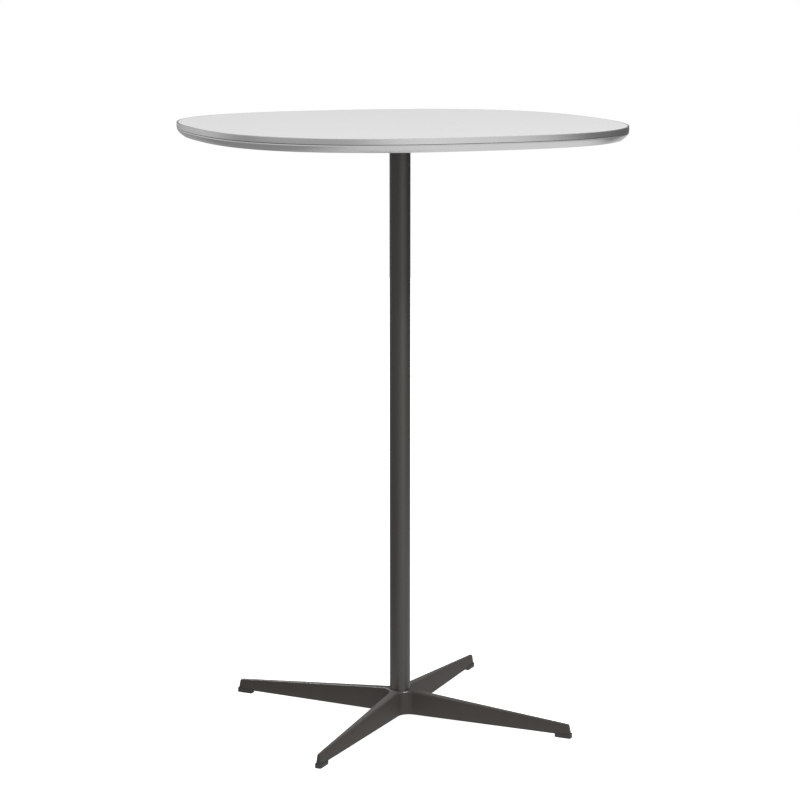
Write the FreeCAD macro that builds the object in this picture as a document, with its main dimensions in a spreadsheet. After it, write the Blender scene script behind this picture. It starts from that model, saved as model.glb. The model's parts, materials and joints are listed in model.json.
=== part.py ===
import FreeCAD, Part
import math
import os
import re
import Sketcher

# A bar-height bistro table: a thin rounded-square top with a metal edge, a slim round
# column and a cast four-leg star base.  Lengths are millimetres and angles degrees.
# The origin is on the floor under the column, +Z is up, and the straighter sides of the
# top face along X and Y, so the legs point along the diagonals.

SIZES = {
    "total_height": 1050,
    "top_width": 734,
    "outline_power": 2.6,
    "top_thickness": 22.8,
    "laminate_thickness": 0.9,
    "glue_gap": 0.1,
    # edge profile, measured inwards from the outline and down from the top face
    "edge_wall": 3,
    "edge_round": 0.8,
    "edge_band": 9.3,
    "groove_depth": 0.9,
    "groove_height": 1.1,
    "bevel_inset": 11.5,
    "bevel_bulge": 0.7,
    "edge_foot": 14,
    "edge_foot_height": 1.9,
    "tongue_reach": 12,
    "tongue_top": 7.2,
    "tongue_height": 2.4,
    "joint_gap": 0.3,
    "joint_pin_radius": 0.8,
    "joint_pin_length": 30,
    # top bracket and its fastenings
    "boss_radius": 27,
    "boss_height": 24,
    "socket_depth": 10,
    "bracket_web": 5,
    "bracket_reach": 158,
    "bracket_root_half": 15,
    "bracket_tip_half": 9,
    "bracket_root_thick": 12,
    "bracket_tip_thick": 6,
    "bracket_corner": 5,
    "bracket_screw_near": 78,
    "bracket_screw_far": 144,
    "nut_pocket_radius": 13,
    "screw_clearance": 3.3,
    "screw_radius": 2.9,
    "screw_head_radius": 5.25,
    "screw_head_height": 3.3,
    "screw_reach": 11,
    "seat_drop": 0.26,
    "screw_key_width": 4,
    "screw_key_depth": 2,
    "insert_radius": 4.5,
    "insert_length": 13,
    # column and tie rod
    "tube_radius": 18,
    "tube_wall": 2,
    "tube_seat_depth": 5,
    "tube_clearance": 0.15,
    "plug_clearance": 0.1,
    "plug_length": 35,
    "plug_bevel": 1.5,
    "spigot_radius": 10,
    "spigot_length": 10,
    "rod_radius": 5,
    "rod_hole_radius": 5.3,
    "rod_bevel": 0.8,
    "washer_radius": 11,
    "washer_thickness": 2,
    "foot_washer_radius": 15,
    "foot_washer_thickness": 2.5,
    "spring_washer_radius": 9,
    "spring_washer_thickness": 2.2,
    "spring_washer_slit": 1.5,
    "nut_across_flats": 17,
    "nut_height": 8,
    "thin_nut_height": 6,
    "nut_dome": 10.4,
    "dowel_radius": 1.5,
    "dowel_offset": 13,
    "dowel_length": 9,
    # base casting
    "underside": 6,
    "hub_top": 49.4,
    "tip_top": 24.6,
    "leg_reach": 324.7,
    "tip_lean": 3,
    "leg_root_half": 11.6,
    "leg_tip_half": 4.4,
    "leg_draft": 3.6,
    "web_radius": 24,
    "edge_soft": 3,
    "foot_pocket_radius": 17,
    "foot_pocket_height": 16,
    "hollow_start": 36,
    "hollow_end": 268,
    "hollow_wall": 3.6,
    "hollow_roof": 5,
    # glides
    "glide_start": 297,
    "glide_end": 326.4,
    "glide_half": 6.2,
    "glide_rim": 8.1,
    "glide_heel": 6.6,
    "glide_corner": 3.4,
    "glide_heel_corner": 1.6,
    "glide_sole_round": 1,
    "glide_screw_place": 309,
    "glide_screw_radius": 1.6,
    "glide_head_radius": 3.2,
    "glide_head_recess": 1.6,
    "glide_head_height": 2,
    "glide_screw_length": 14,
    "glide_key_width": 2,
}

# Lengths worked out from the ones above, as formulas in the same names.
DERIVED = {
    "under_face": "total_height - top_thickness",
    "core_top": "total_height - laminate_thickness",
    "core_bottom": "under_face + laminate_thickness",
    "boss_bottom": "under_face - boss_height",
    "tube_top": "boss_bottom + socket_depth",
    "web_top": "tube_top + bracket_web",
    "tube_bottom": "hub_top - tube_seat_depth",
    "tube_bore": "tube_radius - tube_wall",
    "foot_ceiling": "underside + foot_pocket_height",
    "rod_top": "web_top + washer_thickness + thin_nut_height + 0.5",
    "foot_nut_top": "foot_ceiling - foot_washer_thickness - spring_washer_thickness",
    "rod_bottom": "foot_nut_top - nut_height - 1.5",
    "leg_top_reach": "leg_reach - tip_lean",
    "leg_slope": "(hub_top - tip_top) / leg_top_reach",
    "leg_narrowing": "(leg_root_half - leg_tip_half) / leg_reach",
    "bevel_top": "edge_band + 2 * groove_depth + groove_height",
}

LEG_ANGLES = {"rear_right": 45, "rear_left": 135, "front_left": 225, "front_right": 315}
UP = FreeCAD.Vector(0, 0, 1)
OUTLINE_STEPS = 96
OVERRUN = 5

doc = FreeCAD.newDocument("bistro_table")
sheet = doc.addObject("Spreadsheet::Sheet", "Sizes")


def fill_sheet():
    """Write each driving dimension to a cell that carries its name."""
    for row, (name, number) in enumerate(SIZES.items(), start=1):
        sheet.set(f"A{row}", name)
        sheet.set(f"B{row}", str(number))
        sheet.setAlias(f"B{row}", name)
    doc.recompute()


def formula(text):
    """Turn a formula in plain size names into one that reads the sheet's cells."""
    def cell(match):
        word = match.group(0)
        if word in DERIVED:
            return "(" + formula(DERIVED[word]) + ")"
        return "Sizes." + word if word in SIZES else word
    return re.sub(r"[a-z_]+", cell, str(text))


def value(text):
    """The number that a formula gives now."""
    return float(sheet.evalExpression(formula(text)))


def bind(item, **sizes):
    """Bind properties to formulas; a double underscore stands for a dot."""
    for name, text in sizes.items():
        item.setExpression(name.replace("__", "."), formula(text))
    return item


def turned(angle):
    """A rotation about the column's axis."""
    return FreeCAD.Rotation(UP, angle)


def new_body(name):
    body = doc.addObject("PartDesign::Body", name)
    body.Label = name
    return body


def new_sketch(body, name, role, height="0", angle=0):
    """A sketch on one of the body's own origin planes, lifted and turned if asked."""
    plane = [item for item in body.Origin.OriginFeatures if item.Role == role][0]
    sketch = body.newObject("Sketcher::SketchObject", name)
    sketch.AttachmentSupport = (plane, [""])
    sketch.MapMode = "FlatFace"
    sketch.AttachmentOffset = FreeCAD.Placement(FreeCAD.Vector(0, 0, value(height)), turned(angle))
    sketch.setExpression("AttachmentOffset.Base.z", formula(height))
    return sketch


def draw_corners(sketch, corners):
    """A closed run of straight lines through corners given as pairs of formulas."""
    spots = [FreeCAD.Vector(value(across), value(along), 0) for across, along in corners]
    count = len(spots)
    for index, spot in enumerate(spots):
        sketch.addGeometry(Part.LineSegment(spot, spots[(index + 1) % count]), False)
    for index in range(count):
        sketch.addConstraint(Sketcher.Constraint("Coincident", index, 2, (index + 1) % count, 1))
    for index, corner in enumerate(corners):
        for kind, text in zip(("DistanceX", "DistanceY"), corner):
            rule = sketch.addConstraint(Sketcher.Constraint(kind, -1, 1, index, 1, value(text)))
            sketch.setExpression(f"Constraints[{rule}]", formula(text))
    return sketch


def draw_circles(sketch, radius, centres):
    """Circles of one radius at centres given as pairs of formulas."""
    for index, (across, along) in enumerate(centres):
        centre = FreeCAD.Vector(value(across), value(along), 0)
        sketch.addGeometry(Part.Circle(centre, UP, value(radius)), False)
        for kind, text in (("DistanceX", across), ("DistanceY", along)):
            rule = sketch.addConstraint(Sketcher.Constraint(kind, -1, 1, index, 3, value(text)))
            sketch.setExpression(f"Constraints[{rule}]", formula(text))
        rule = sketch.addConstraint(Sketcher.Constraint("Radius", index, value(radius)))
        sketch.setExpression(f"Constraints[{rule}]", formula(radius))
    return sketch


def side_sketch(body, name, corners):
    """Half of a turned section: first number out from the axis, second number up."""
    return draw_corners(new_sketch(body, name, "XZ_Plane"), corners)


def turn_feature(body, name, kind, sketch):
    """A full revolution or groove about the column's axis."""
    feature = body.newObject(kind, name)
    feature.Profile = sketch
    feature.ReferenceAxis = (sketch, ["V_Axis"])
    feature.Angle = 360
    return feature


def pad_feature(body, name, kind, sketch, length, reverse=False):
    feature = body.newObject(kind, name)
    feature.Profile = sketch
    feature.Reversed = reverse
    return bind(feature, Length=length)


def round_edges(body, name, base, radius, chosen):
    """Round the edges of the base feature that the chosen test picks."""
    doc.recompute()
    edges = [f"Edge{number}" for number, edge in enumerate(base.Shape.Edges, start=1) if chosen(edge)]
    rounding = body.newObject("PartDesign::Fillet", name)
    rounding.Base = (base, edges)
    bind(rounding, Radius=radius)
    doc.recompute()
    return rounding


def removed(before, after, what):
    """Stop unless a cutting feature took material away."""
    doc.recompute()
    if not after.Shape.Volume < before.Shape.Volume - 1:
        raise RuntimeError(what + " cut nothing")


def turned_body(name, corners):
    body = new_body(name)
    turn_feature(body, name + "_turning", "PartDesign::Revolution",
                 side_sketch(body, name + "_section", corners))
    return body


def cylinder(name, radius, low, high, across="0", along="0"):
    piece = doc.addObject("Part::Cylinder", name)
    return bind(piece, Radius=radius, Height=f"({high}) - ({low})",
                Placement__Base__x=across, Placement__Base__y=along, Placement__Base__z=low)


def hexagon(name, across_flats, low, high, across="0", along="0"):
    piece = doc.addObject("Part::Prism", name)
    piece.Polygon = 6
    return bind(piece, Circumradius=f"({across_flats}) / sqrt(3)", Height=f"({high}) - ({low})",
                Placement__Base__x=across, Placement__Base__y=along, Placement__Base__z=low)


def cut(name, base, tool):
    piece = doc.addObject("Part::Cut", name)
    piece.Base = base
    piece.Tool = tool
    return piece


def fused(name, pieces):
    piece = doc.addObject("Part::MultiFuse", name)
    piece.Shapes = pieces
    return piece


def grouped(name, pieces):
    piece = doc.addObject("Part::Compound", name)
    piece.Links = pieces
    return piece


def ring(name, outer, inner, low, high):
    return cut(name, cylinder(name + "_disc", outer, low, high),
               cylinder(name + "_hole", inner, f"({low}) - 1", f"({high}) + 1"))


def on_diagonals(distances):
    """Places at the given distances along the four diagonals, as pairs of formulas."""
    places = []
    for angle in LEG_ANGLES.values():
        for distance in distances:
            places.append((f"{distance} * cos({angle} deg)", f"{distance} * sin({angle} deg)"))
    return places


BRACKET_SCREWS = on_diagonals(["bracket_screw_near", "bracket_screw_far"])


# ---- tabletop ---------------------------------------------------------------------

def rounded_square(inset, level):
    """The top's outline |x|^p + |y|^p = half^p, moved inwards by inset, at one height."""
    half = value("top_width / 2")
    power = value("outline_power")
    spots = []
    for step in range(OUTLINE_STEPS):
        angle = 2 * math.pi * step / OUTLINE_STEPS
        way = FreeCAD.Vector(math.cos(angle), math.sin(angle), 0)
        reach = half / (abs(way.x) ** power + abs(way.y) ** power) ** (1 / power)
        outward = FreeCAD.Vector(math.copysign(abs(way.x) ** (power - 1), way.x),
                                 math.copysign(abs(way.y) ** (power - 1), way.y), 0)
        outward.normalize()
        spots.append(way * reach - outward * inset + UP * level)
    curve = Part.BSplineCurve()
    curve.interpolate(Points=spots, PeriodicFlag=True, Parameters=list(range(OUTLINE_STEPS + 1)))
    return curve


def rounded_plate(inset, low, high):
    """A flat plate with the top's outline."""
    face = Part.Face(Part.Wire(rounded_square(inset, low).toShape()))
    return face.extrude(UP * (high - low))


def plate_from_top(inset, top, bottom):
    """A plate between two depths under the top face."""
    height = value("total_height")
    return rounded_plate(inset, height - bottom, height - top)


def laminate(name, low, inset):
    """A thin sheet bonded to one face of the core."""
    body = new_body(name)
    sketch = new_sketch(body, name + "_outline", "XY_Plane", low)
    sketch.addGeometry(rounded_square(value(inset), 0), False)
    pad_feature(body, name + "_sheet", "PartDesign::Pad", sketch, "laminate_thickness")
    return body


def underside_laminate():
    """The lower sheet, drilled where the inserts go up into the core."""
    body = laminate("underside_laminate", "under_face", "edge_foot + glue_gap")
    sheet_only = body.Tip
    centres = draw_circles(new_sketch(body, "laminate_hole_centres", "XY_Plane", "under_face"),
                           "insert_radius", BRACKET_SCREWS)
    holes = pad_feature(body, "laminate_holes", "PartDesign::Pocket", centres,
                        "laminate_thickness + 1", True)
    removed(sheet_only, holes, "laminate holes")
    return body


def core_board():
    """The board, with a lower edge that follows the bevel and a groove for the tongue."""
    gap = value("glue_gap")
    inset = value("edge_wall") + gap
    low_inset = value("bevel_inset") + 1
    bevel_start = value("bevel_top") + gap
    bevel_end = value("top_thickness - edge_foot_height") - gap
    height = value("total_height")
    upper = plate_from_top(inset, value("laminate_thickness"), bevel_start)
    slope = Part.makeLoft([Part.Wire(rounded_square(inset, height - bevel_start).toShape()),
                           Part.Wire(rounded_square(low_inset, height - bevel_end).toShape())],
                          True, True)
    lower = plate_from_top(value("edge_foot") + gap, bevel_end,
                           value("top_thickness - laminate_thickness"))
    groove_top = value("tongue_top") - gap
    groove_bottom = value("tongue_top + tongue_height") + gap
    groove = plate_from_top(0, groove_top, groove_bottom).cut(
        plate_from_top(value("tongue_reach") + 2 * gap, groove_top, groove_bottom))
    holes = []
    for across, along in BRACKET_SCREWS:
        foot = FreeCAD.Vector(value(across), value(along), value("under_face"))
        holes.append(Part.makeCylinder(value("insert_radius"), value("insert_length"), foot))
    board = upper.fuse([slope, lower]).removeSplitter()
    piece = doc.addObject("Part::Feature", "tabletop_core")
    piece.Shape = board.cut([groove] + holes)
    return piece


def edge_section():
    """The edge profile's closed section at the middle of the +X side."""
    half = value("top_width / 2")
    height = value("total_height")

    def spot(inset, depth):
        return FreeCAD.Vector(half - inset, 0, height - depth)

    wall = value("edge_wall")
    soft = value("edge_round")
    band = value("edge_band")
    nick = value("groove_depth")
    thick = value("top_thickness")
    tongue_top = value("tongue_top")
    tongue_bottom = value("tongue_top + tongue_height")
    bevel_top = value("bevel_top")
    bevel_foot = value("bevel_inset")
    foot_top = value("top_thickness - edge_foot_height")
    bulge = value("bevel_bulge")
    bevel_middle = spot((nick / 2 + bevel_foot) / 2 - bulge, (bevel_top + thick) / 2 + bulge)
    soft_middle = spot(soft * (1 - math.sqrt(0.5)), soft * (1 - math.sqrt(0.5)))
    corners = [spot(0, soft), spot(0, band), spot(nick, band + nick / 2),
               spot(nick, band + nick / 2 + value("groove_height")), spot(nick / 2, bevel_top)]
    edges = [Part.Arc(spot(soft, 0), soft_middle, corners[0]).toShape()]
    edges += [Part.makeLine(start, end) for start, end in zip(corners, corners[1:])]
    edges.append(Part.Arc(corners[-1], bevel_middle, spot(bevel_foot, thick)).toShape())
    inner = [spot(bevel_foot, thick), spot(value("edge_foot"), thick), spot(value("edge_foot"), foot_top),
             spot(bevel_foot + 0.9, foot_top), spot(wall, bevel_top + 0.5), spot(wall, tongue_bottom),
             spot(value("tongue_reach"), tongue_bottom), spot(value("tongue_reach"), tongue_top),
             spot(wall, tongue_top), spot(wall, 0), spot(soft, 0)]
    edges += [Part.makeLine(start, end) for start, end in zip(inner, inner[1:])]
    return Part.Wire(edges)


def joint_pin_places():
    """The two pins across the edge's butt joint, which is at the middle of the +Y side."""
    middle = value("top_width / 2 - edge_wall / 2")
    depths = (value("tongue_top / 2") - 0.6, value("tongue_top + tongue_height / 2") - 0.2)
    return [FreeCAD.Vector(-value("joint_pin_length / 2"), middle, value("total_height") - depth)
            for depth in depths]


def joint_pins(radius):
    along = FreeCAD.Vector(1, 0, 0)
    length = value("joint_pin_length")
    return [Part.makeCylinder(radius, length, place, along) for place in joint_pin_places()]


def edge_profile():
    """The metal profile bent round the core, with its ends butted at the back."""
    sweep = Part.BRepOffsetAPI.MakePipeShell(Part.Wire(rounded_square(0, value("total_height")).toShape()))
    sweep.setBiNormalMode(UP)
    sweep.add(edge_section())
    sweep.build()
    sweep.makeSolid()
    gap = value("joint_gap")
    depth = value("top_thickness")
    slit = Part.makeBox(gap, value("edge_foot") + 2 * OVERRUN, depth + 2 * OVERRUN,
                        FreeCAD.Vector(-gap / 2, value("top_width / 2 - edge_foot") - OVERRUN,
                                       value("under_face") - OVERRUN))
    piece = doc.addObject("Part::Feature", "edge_profile")
    piece.Shape = sweep.shape().cut([slit] + joint_pins(value("joint_pin_radius") + 0.02))
    return piece


def edge_joint_pins():
    piece = doc.addObject("Part::Feature", "edge_joint_pins")
    piece.Shape = Part.makeCompound(joint_pins(value("joint_pin_radius")))
    return piece


# ---- top bracket and its fastenings -----------------------------------------------

def top_bracket():
    """A cast four-arm bracket with a socket for the column and a pocket for the nut."""
    body = new_body("top_bracket")
    boss = side_sketch(body, "bracket_boss_section", [
        ("0", "boss_bottom"), ("boss_radius - 2", "boss_bottom"), ("boss_radius", "boss_bottom + 2"),
        ("boss_radius", "under_face"), ("0", "under_face")])
    turn_feature(body, "bracket_boss", "PartDesign::Revolution", boss)
    arm = draw_corners(new_sketch(body, "bracket_arm_outline", "XY_Plane", "under_face", 45), [
        ("-bracket_reach", "-bracket_tip_half"), ("0", "-bracket_root_half"),
        ("bracket_reach", "-bracket_tip_half"), ("bracket_reach", "bracket_tip_half"),
        ("0", "bracket_root_half"), ("-bracket_reach", "bracket_tip_half")])
    arms = pad_feature(body, "bracket_arms", "PartDesign::Pad", arm, "bracket_root_thick", True)
    doc.recompute()
    crossing = body.newObject("PartDesign::PolarPattern", "bracket_crossing")
    crossing.Originals = [arms]
    crossing.Axis = (arm, ["N_Axis"])
    crossing.Angle = 90
    crossing.Occurrences = 2
    body.Tip = crossing
    doc.recompute()
    slope = side_sketch(body, "bracket_slope_section", [
        ("boss_radius + 8", "under_face - bracket_root_thick"),
        ("bracket_reach + 5", "under_face - bracket_tip_thick"),
        ("bracket_reach + 5", "boss_bottom"), ("boss_radius + 8", "boss_bottom")])
    thinned = turn_feature(body, "bracket_slope", "PartDesign::Groove", slope)
    removed(crossing, thinned, "bracket slope")
    bore = side_sketch(body, "bracket_bore_section", [
        ("0", "boss_bottom - 1"), ("tube_radius + tube_clearance", "boss_bottom - 1"),
        ("tube_radius + tube_clearance", "tube_top"), ("rod_hole_radius", "tube_top"),
        ("rod_hole_radius", "web_top"), ("nut_pocket_radius", "web_top"),
        ("nut_pocket_radius", "under_face + 1"), ("0", "under_face + 1")])
    bored = turn_feature(body, "bracket_bore", "PartDesign::Groove", bore)
    removed(thinned, bored, "bracket bore")
    centres = draw_circles(new_sketch(body, "bracket_hole_centres", "XY_Plane", "under_face"),
                           "screw_clearance", BRACKET_SCREWS)
    holes = pad_feature(body, "bracket_holes", "PartDesign::Pocket", centres, "bracket_root_thick + 1")
    removed(bored, holes, "bracket screw holes")
    pins = draw_circles(new_sketch(body, "bracket_dowel_centre", "XY_Plane", "tube_top"),
                        "dowel_radius", [("dowel_offset", "0")])
    dowel = pad_feature(body, "bracket_dowel_hole", "PartDesign::Pocket", pins,
                        "dowel_length / 2", True)
    removed(holes, dowel, "bracket dowel hole")

    def arm_corner(edge):
        ends = [vertex.Point for vertex in edge.Vertexes]
        upright = len(ends) == 2 and abs(ends[0].x - ends[1].x) + abs(ends[0].y - ends[1].y) < 0.1
        far = all(math.hypot(end.x, end.y) > value("bracket_reach") - 1 for end in ends)
        return upright and far

    round_edges(body, "bracket_arm_corners", dowel, "bracket_corner", arm_corner)
    return body


def threaded_inserts():
    sleeves = []
    for number, (across, along) in enumerate(BRACKET_SCREWS, start=1):
        low = "under_face"
        high = "under_face + insert_length - 0.1"
        name = f"insert_{number}"
        sleeves.append(cut(name, cylinder(name + "_outside", "insert_radius - 0.05", low, high, across, along),
                           cylinder(name + "_thread", "screw_radius + 0.05", "under_face - 1",
                                    high + " + 1", across, along)))
    return grouped("threaded_inserts", sleeves)


def bracket_screws():
    """Eight screws driven up through the arms, each seated on its arm's sloping face."""
    screws = []
    slope = "(bracket_root_thick - bracket_tip_thick) / (bracket_reach + 5 - boss_radius - 8)"
    distances = ["bracket_screw_near", "bracket_screw_far"] * len(LEG_ANGLES)
    for number, ((across, along), distance) in enumerate(zip(BRACKET_SCREWS, distances), start=1):
        seat = f"under_face - bracket_root_thick + ({distance} - boss_radius - 8) * {slope} - seat_drop"
        name = f"bracket_screw_{number}"
        shank = cylinder(name + "_shank", "screw_radius", seat, "under_face + screw_reach", across, along)
        head = cylinder(name + "_head", "screw_head_radius", f"{seat} - screw_head_height", seat,
                        across, along)
        key = hexagon(name + "_key", "screw_key_width", f"{seat} - screw_head_height - 1",
                      f"{seat} - screw_head_height + screw_key_depth", across, along)
        screws.append(cut(name, fused(name + "_blank", [shank, head]), key))
    return grouped("bracket_screws", screws)


# ---- column and tie rod -----------------------------------------------------------

def column_tube():
    return turned_body("column_tube", [
        ("tube_bore", "tube_bottom"), ("tube_radius", "tube_bottom"),
        ("tube_radius", "tube_top"), ("tube_bore", "tube_top")])


def centring_plug(name, end, way):
    """A turned plug in one end of the tube; way is 1 where it reaches up, -1 down."""
    outside = "tube_bore - plug_clearance"
    corners = [("rod_hole_radius", end), (outside, end), (outside, f"{end} + {way} * (plug_length - plug_bevel)"),
               (f"{outside} - plug_bevel", f"{end} + {way} * plug_length"),
               ("rod_hole_radius", f"{end} + {way} * plug_length")]
    if name == "foot_plug":
        nose = f"{end} - spigot_length"
        corners = [("rod_hole_radius", nose), ("spigot_radius", nose), ("spigot_radius", end)] + corners[1:]
    body = turned_body(name, corners)
    centre = draw_circles(new_sketch(body, name + "_dowel_centre", "XY_Plane", end),
                          "dowel_radius", [("dowel_offset", "0")])
    whole = body.Tip
    hole = pad_feature(body, name + "_dowel_hole", "PartDesign::Pocket", centre,
                       "dowel_length / 2", way > 0)
    removed(whole, hole, name + " dowel hole")
    return body


def dowel(name, middle):
    return cylinder(name, "dowel_radius - 0.02", f"{middle} - dowel_length / 2 + 0.2",
                    f"{middle} + dowel_length / 2 - 0.2", "dowel_offset")


def tie_rod():
    return turned_body("tie_rod", [
        ("0", "rod_bottom"), ("rod_radius - rod_bevel", "rod_bottom"),
        ("rod_radius", "rod_bottom + rod_bevel"), ("rod_radius", "rod_top - rod_bevel"),
        ("rod_radius - rod_bevel", "rod_top"), ("0", "rod_top")])


def nut(name, low, height):
    """A hexagon nut with its corners turned off by a ball centred in it."""
    block = hexagon(name + "_block", "nut_across_flats", low, f"{low} + {height}")
    ball = doc.addObject("Part::Sphere", name + "_ball")
    bind(ball, Radius="nut_dome", Placement__Base__z=f"{low} + {height} / 2")
    domed = doc.addObject("Part::Common", name + "_domed")
    domed.Base = block
    domed.Tool = ball
    return cut(name, domed, cylinder(name + "_thread", "rod_radius + 0.05", f"{low} - 1",
                                     f"{low} + {height} + 1"))


def spring_washer():
    whole = ring("spring_washer_ring", "spring_washer_radius", "rod_hole_radius",
                 "foot_nut_top", "foot_nut_top + spring_washer_thickness")
    slit = doc.addObject("Part::Box", "spring_washer_slit_cut")
    bind(slit, Length="spring_washer_radius + 1", Width="spring_washer_slit",
         Height="spring_washer_thickness + 2", Placement__Base__y="-spring_washer_slit / 2",
         Placement__Base__z="foot_nut_top - 1")
    return cut("spring_washer", whole, slit)


# ---- base casting -----------------------------------------------------------------

def star_blank(body):
    """Two drafted double-ended arms crossed at the hub, with webs in the four corners."""
    arm = draw_corners(new_sketch(body, "leg_pair_outline", "XY_Plane", "underside", 45), [
        ("-leg_reach - 4", "-leg_tip_half"), ("0", "-leg_root_half"), ("leg_reach + 4", "-leg_tip_half"),
        ("leg_reach + 4", "leg_tip_half"), ("0", "leg_root_half"), ("-leg_reach - 4", "leg_tip_half")])
    legs = pad_feature(body, "leg_pair", "PartDesign::Pad", arm, "hub_top - underside + 2")
    bind(legs, TaperAngle="-leg_draft")
    doc.recompute()
    crossing = body.newObject("PartDesign::PolarPattern", "leg_crossing")
    crossing.Originals = [legs]
    crossing.Axis = (arm, ["N_Axis"])
    crossing.Angle = 90
    crossing.Occurrences = 2
    body.Tip = crossing
    doc.recompute()

    def inner_corner(edge):
        ends = [vertex.Point for vertex in edge.Vertexes]
        if len(ends) != 2 or abs(ends[0].z - ends[1].z) < 10:
            return False
        close = all(8 < math.hypot(end.x, end.y) < 20 for end in ends)
        return close and min(abs(ends[0].x), abs(ends[0].y)) < 0.5

    return round_edges(body, "hub_webs", crossing, "web_radius", inner_corner)


def shaped_top(body, blank):
    """Turn the star against a profile that slopes along the legs and leans at their ends."""
    section = side_sketch(body, "slope_section", [
        ("0", "hub_top"), ("leg_top_reach", "tip_top"), ("leg_reach + 0.5", "underside - 3"),
        ("leg_reach + 20", "underside - 3"), ("leg_reach + 20", "hub_top + 10"), ("0", "hub_top + 10")])
    sloped = turn_feature(body, "leg_slopes", "PartDesign::Groove", section)
    removed(blank, sloped, "leg slopes")
    drop = value("leg_slope")
    hub = value("hub_top")
    tip = value("leg_top_reach")

    def on_top(point):
        return abs(point.z - (hub - drop * math.hypot(point.x, point.y))) < 0.05

    def visible_edge(edge):
        ends = [vertex.Point for vertex in edge.Vertexes]
        if len(ends) != 2:
            return False
        upper = all(on_top(end) for end in ends)
        end_corner = all(math.hypot(end.x, end.y) > tip - 1 for end in ends) and any(map(on_top, ends))
        return upper or end_corner

    return round_edges(body, "soft_edges", sloped, "edge_soft", visible_edge)


def base_casting():
    """The star: seat for the tube, bore for the plug, pocket for the nut, hollow legs."""
    body = new_body("star_blank")
    shaped = shaped_top(body, star_blank(body))
    seat = "tube_radius + tube_clearance"
    nose = "tube_bottom - spigot_length - 0.5"
    bore = side_sketch(body, "hub_bore_section", [
        ("0", "underside - 1"), ("foot_pocket_radius", "underside - 1"),
        ("foot_pocket_radius", "foot_ceiling"), ("rod_hole_radius", "foot_ceiling"),
        ("rod_hole_radius", nose), ("spigot_radius + plug_clearance", nose),
        ("spigot_radius + plug_clearance", "tube_bottom"), (seat, "tube_bottom"),
        (seat, "hub_top + 1"), ("0", "hub_top + 1")])
    bored = turn_feature(body, "hub_bore", "PartDesign::Groove", bore)
    removed(shaped, bored, "hub bore")
    centre = draw_circles(new_sketch(body, "hub_dowel_centre", "XY_Plane", "tube_bottom"),
                          "dowel_radius", [("dowel_offset", "0")])
    pinned = pad_feature(body, "hub_dowel_hole", "PartDesign::Pocket", centre, "dowel_length / 2")
    removed(bored, pinned, "hub dowel hole")
    tools = [leg_hollow(name, angle) for name, angle in LEG_ANGLES.items()]
    for number, (across, along) in enumerate(on_diagonals(["glide_screw_place"]), start=1):
        tools.append(cylinder(f"glide_thread_{number}", "glide_screw_radius", "underside - 1",
                              "underside + glide_screw_length - 3", across, along))
    return cut("base_casting", body, fused("leg_hollows", tools))


def leg_hollow(name, angle):
    """The tapering space under one leg, which leaves even walls and an even roof."""
    space = doc.addObject("Part::Wedge", "hollow_" + name)
    start_half = "leg_root_half - leg_narrowing * hollow_start - hollow_wall"
    end_half = "leg_root_half - leg_narrowing * hollow_end - hollow_wall"
    bind(space, Ymin="hollow_start", Ymax="hollow_end", Zmin="underside - 1", Z2min="underside - 1",
         Zmax="hub_top - leg_slope * hollow_start - hollow_roof",
         Z2max="hub_top - leg_slope * hollow_end - hollow_roof",
         Xmin=f"-({start_half})", Xmax=start_half, X2min=f"-({end_half})", X2max=end_half)
    space.Placement = FreeCAD.Placement(FreeCAD.Vector(0, 0, 0), turned(angle - 90))
    return space


# ---- glides -----------------------------------------------------------------------

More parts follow.
